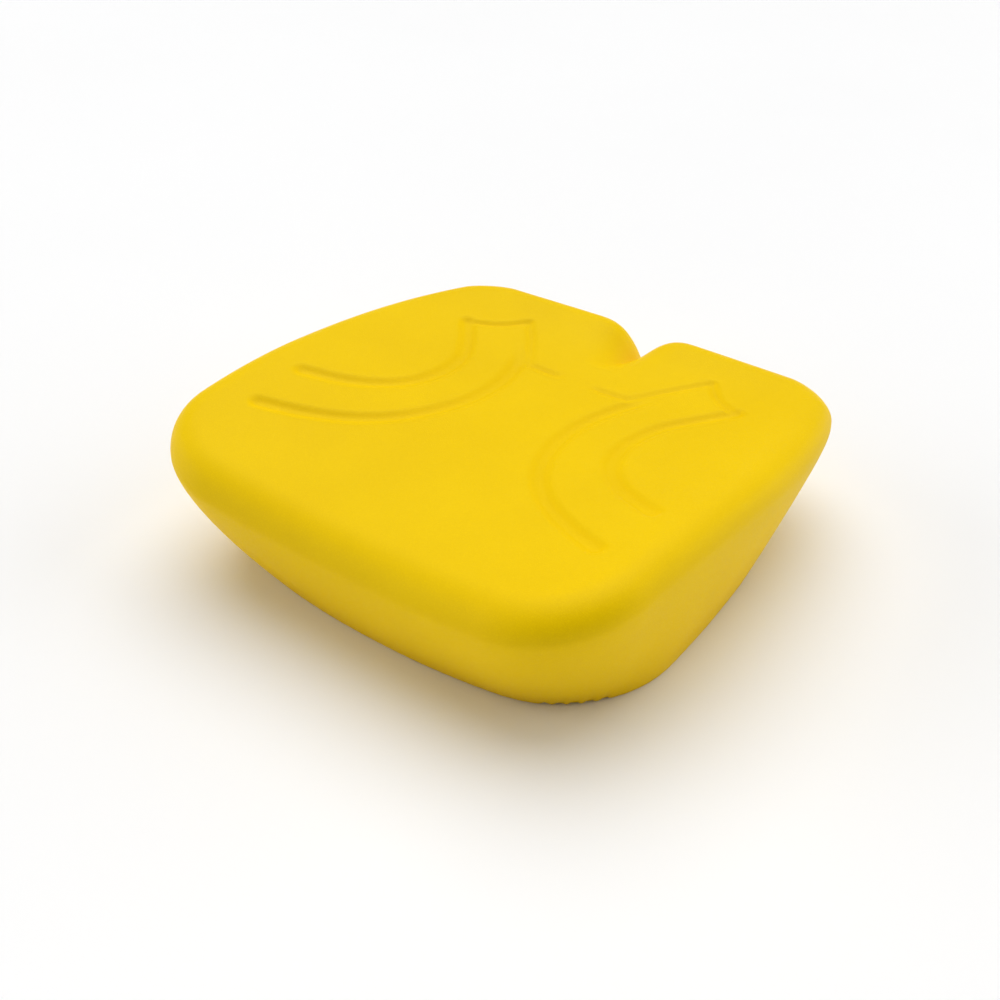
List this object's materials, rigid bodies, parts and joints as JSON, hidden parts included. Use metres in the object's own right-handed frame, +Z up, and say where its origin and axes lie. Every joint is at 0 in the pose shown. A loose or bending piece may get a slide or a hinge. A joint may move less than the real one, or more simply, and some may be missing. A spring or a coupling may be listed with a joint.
{
  "type": "seat cushion",
  "caption": "Moulded seat cushion for a tractor or boat seat: formed vinyl over foam on a plywood board with threaded inserts underneath.",
  "frame": {"origin": "middle of the cushion's bounding box, on the plane it rests on", "axes": "+X across the seat, to the sitter's right; +Y to the back edge, where the relief valley is; +Z up through the sitting surface"},
  "size_m": [0.4837, 0.4576, 0.1428],
  "materials": {
    "vinyl": "satin",
    "foam": "matte",
    "plywood": "matte",
    "staple_wire": "satin",
    "zinc_plate": "satin",
    "black_plastic": "matte"
  },
  "bodies": {
    "root": {"vinyl_cover": "vinyl", "foam_core": "foam", "base_board": "plywood", "hem_staples": "staple_wire", "tee_nut_front_left": "zinc_plate", "tee_nut_back_left": "zinc_plate", "tee_nut_front_right": "zinc_plate", "tee_nut_back_right": "zinc_plate", "breather_left": "black_plastic", "breather_right": "black_plastic"}
  },
  "joints": []
}
